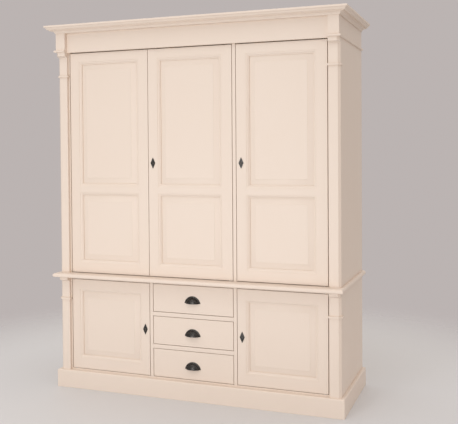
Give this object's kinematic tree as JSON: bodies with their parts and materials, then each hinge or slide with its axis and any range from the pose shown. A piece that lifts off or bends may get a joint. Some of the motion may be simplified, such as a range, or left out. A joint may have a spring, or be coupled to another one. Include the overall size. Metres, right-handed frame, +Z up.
{
  "type": "armoire",
  "caption": "Cream painted armoire: tall panelled doors over short panelled doors and drawers with cup pulls, on a plinth, with a moulded cornice.",
  "frame": {"origin": "centre of the overall width and depth, at floor level", "axes": "+X to the right of a viewer who faces the doors, +Y to the back, +Z up"},
  "size_m": [1.844, 0.704, 2.2],
  "materials": {
    "cream_paint": "satin cream paint on pine",
    "bare_pine": "unpainted planed pine",
    "dark_iron": "dark pewter-coloured iron",
    "steel": "satin steel"
  },
  "bodies": {
    "root": {"clothes_rail": "steel", "cornice": "cream_paint", "door_stops": "bare_pine", "drawer_rails": "cream_paint", "drawer_runners": "bare_pine", "frieze": "cream_paint", "lower_back_panel": "bare_pine", "lower_bottom_board": "cream_paint", "lower_left_post": "cream_paint", "lower_partitions": "cream_paint", "lower_right_post": "cream_paint", "lower_shelves": "cream_paint", "lower_side_panels": "cream_paint", "lower_top_board": "cream_paint", "pivot_pins": "steel", "plinth": "cream_paint", "rail_sockets": "steel", "shelf_cleats": "bare_pine", "side_beads": "cream_paint", "strike_plates": "steel", "upper_back_panel": "bare_pine", "upper_bottom_board": "cream_paint", "upper_left_post": "cream_paint", "upper_partition": "cream_paint", "upper_right_post": "cream_paint", "upper_shelves": "cream_paint", "upper_side_panels": "cream_paint", "upper_top_board": "cream_paint", "waist_board": "cream_paint"},
    "left_door": {"left_door_frame": "cream_paint", "left_door_panels": "cream_paint", "left_door_ironwork": "dark_iron"},
    "middle_door": {"middle_door_frame": "cream_paint", "middle_door_panels": "cream_paint", "middle_door_ironwork": "dark_iron"},
    "right_door": {"right_door_frame": "cream_paint", "right_door_panels": "cream_paint", "right_door_ironwork": "dark_iron"},
    "lower_left_door": {"lower_left_door_frame": "cream_paint", "lower_left_door_panels": "cream_paint", "lower_left_door_ironwork": "dark_iron"},
    "lower_right_door": {"lower_right_door_frame": "cream_paint", "lower_right_door_panels": "cream_paint", "lower_right_door_ironwork": "dark_iron"},
    "middle_bolt": {"middle_lock_bolt": "steel"},
    "right_bolt": {"right_lock_bolt": "steel"},
    "lower_left_bolt": {"lower_left_lock_bolt": "steel"},
    "lower_right_bolt": {"lower_right_lock_bolt": "steel"},
    "upper_shoot": {"upper_shoot_bolt": "steel"},
    "lower_shoot": {"lower_shoot_bolt": "steel"},
    "bottom_drawer": {"bottom_drawer_front": "cream_paint", "bottom_drawer_box": "bare_pine", "bottom_drawer_pull": "dark_iron"},
    "middle_drawer": {"middle_drawer_front": "cream_paint", "middle_drawer_box": "bare_pine", "middle_drawer_pull": "dark_iron"},
    "top_drawer": {"top_drawer_front": "cream_paint", "top_drawer_box": "bare_pine", "top_drawer_pull": "dark_iron"}
  },
  "joints": [
    {"name": "left_door_hinge", "type": "hinge", "parent": "root", "child": "left_door", "pos_m": [-0.776, -0.251, 0.706], "axis": [0, 0, -1], "range_deg": [0, 95]},
    {"name": "middle_door_hinge", "type": "hinge", "parent": "root", "child": "middle_door", "pos_m": [0.229, -0.251, 0.706], "axis": [0, 0, 1], "range_deg": [0, 95]},
    {"name": "right_door_hinge", "type": "hinge", "parent": "root", "child": "right_door", "pos_m": [0.776, -0.251, 0.706], "axis": [0, 0, 1], "range_deg": [0, 95]},
    {"name": "lower_left_door_hinge", "type": "hinge", "parent": "root", "child": "lower_left_door", "pos_m": [-0.776, -0.251, 0.117], "axis": [0, 0, -1], "range_deg": [0, 95]},
    {"name": "lower_right_door_hinge", "type": "hinge", "parent": "root", "child": "lower_right_door", "pos_m": [0.776, -0.251, 0.117], "axis": [0, 0, 1], "range_deg": [0, 95]},
    {"name": "middle_bolt_slide", "type": "slide", "parent": "middle_door", "child": "middle_bolt", "axis": [-1, 0, 0], "range_m": [0, 0.014]},
    {"name": "right_bolt_slide", "type": "slide", "parent": "right_door", "child": "right_bolt", "axis": [-1, 0, 0], "range_m": [0, 0.014]},
    {"name": "lower_left_bolt_slide", "type": "slide", "parent": "lower_left_door", "child": "lower_left_bolt", "axis": [1, 0, 0], "range_m": [0, 0.014]},
    {"name": "lower_right_bolt_slide", "type": "slide", "parent": "lower_right_door", "child": "lower_right_bolt", "axis": [-1, 0, 0], "range_m": [0, 0.014]},
    {"name": "upper_shoot_slide", "type": "slide", "parent": "left_door", "child": "upper_shoot", "axis": [0, 0, 1], "range_m": [0, 0.014]},
    {"name": "lower_shoot_slide", "type": "slide", "parent": "left_door", "child": "lower_shoot", "axis": [0, 0, -1], "range_m": [0, 0.014]},
    {"name": "bottom_drawer_slide", "type": "slide", "parent": "root", "child": "bottom_drawer", "axis": [0, -1, 0], "range_m": [0, 0.38]},
    {"name": "middle_drawer_slide", "type": "slide", "parent": "root", "child": "middle_drawer", "axis": [0, -1, 0], "range_m": [0, 0.38]},
    {"name": "top_drawer_slide", "type": "slide", "parent": "root", "child": "top_drawer", "axis": [0, -1, 0], "range_m": [0, 0.38]}
  ]
}
